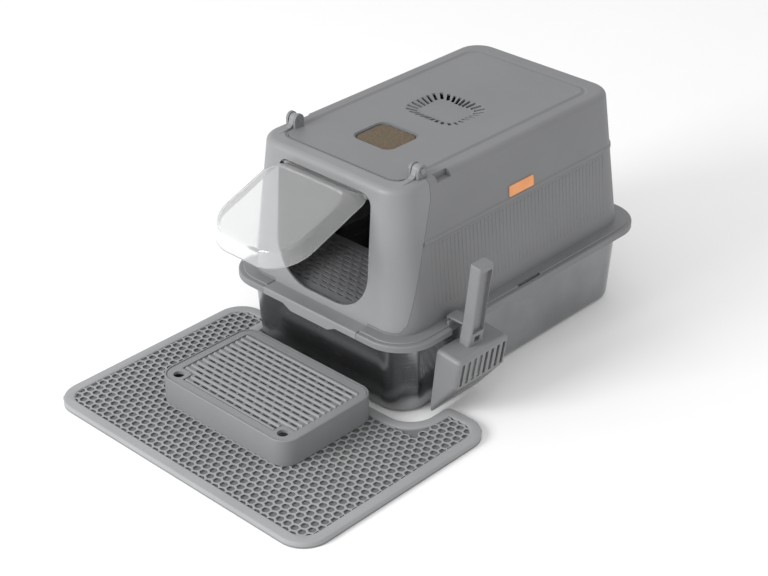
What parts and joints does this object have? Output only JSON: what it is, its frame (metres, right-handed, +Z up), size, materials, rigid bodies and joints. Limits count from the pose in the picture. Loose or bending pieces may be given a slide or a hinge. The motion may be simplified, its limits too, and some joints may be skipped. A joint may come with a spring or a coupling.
{
  "type": "cat litter box with hood",
  "caption": "Steel litter pan with a tall moulded hood, swing-up front panel and clear flap, hanging scoop, entry step and honeycomb mat.",
  "frame": {"origin": "centre of the pan's flat underside, on the floor", "axes": "+Z up, the entry faces -Y, the scoop hangs on the +X side; +Y is along the box towards its rear"},
  "size_m": [0.554, 0.9, 0.3955],
  "materials": {
    "steel": "polished pressed sheet",
    "hood_plastic": "fine satin, dark grey",
    "panel_plastic": "fine satin, grey",
    "pin_plastic": "smooth grey",
    "clear_plastic": "clear, lightly smoked",
    "grate_plastic": "fine satin, grey",
    "tray_plastic": "fine satin, grey",
    "carbon_pad": "brown carbon felt",
    "badge_plastic": "smooth orange, blank",
    "scoop_plastic": "fine satin, grey",
    "step_plastic": "fine satin, grey",
    "mat_foam": "matt foam sheet, grey",
    "mat_foam_top": "matt perforated foam, grey"
  },
  "bodies": {
    "pan": {"litter_pan": "steel"},
    "hood": {"hood_shell": "hood_plastic", "hinge_pins": "pin_plastic", "filter_tray": "tray_plastic", "carbon_filter": "carbon_pad", "badge": "badge_plastic"},
    "front_panel": {"front_panel": "panel_plastic", "flap_pins": "pin_plastic"},
    "flap": {"flap": "clear_plastic"},
    "scoop": {"litter_scoop": "scoop_plastic"},
    "entry_grate": {"entry_grate": "grate_plastic"},
    "mat": {"mat_base": "mat_foam", "mat_top": "mat_foam_top"},
    "step": {"step_tray": "step_plastic"},
    "step_grate": {"step_grate": "step_plastic"}
  },
  "joints": [
    {"name": "hood_lift", "type": "slide", "parent": "pan", "child": "hood", "axis": [0, 0, 1], "range_m": [0, 0.2]},
    {"name": "front_panel_swing", "type": "hinge", "parent": "hood", "child": "front_panel", "pos_m": [0, -0.196, 0.386], "axis": [-1, 0, 0], "range_deg": [0, 185]},
    {"name": "flap_swing", "type": "hinge", "parent": "front_panel", "child": "flap", "pos_m": [0, -0.257, 0.348], "axis": [-1, 0, 0], "range_deg": [-130, 17]},
    {"name": "scoop_lift", "type": "slide", "parent": "hood", "child": "scoop", "axis": [0.108, 0, 0.9942], "range_m": [0, 0.15]},
    {"name": "entry_grate_lift", "type": "slide", "parent": "hood", "child": "entry_grate", "axis": [0, 0, 1], "range_m": [0, 0.015]},
    {"name": "mat_slide", "type": "slide", "parent": "pan", "child": "mat", "axis": [0, -1, 0], "range_m": [0, 0.25]},
    {"name": "step_lift", "type": "slide", "parent": "mat", "child": "step", "axis": [0, 0, 1], "range_m": [0, 0.035]},
    {"name": "step_grate_lift", "type": "slide", "parent": "step", "child": "step_grate", "axis": [0, 0, 1], "range_m": [0, 0.02]}
  ]
}
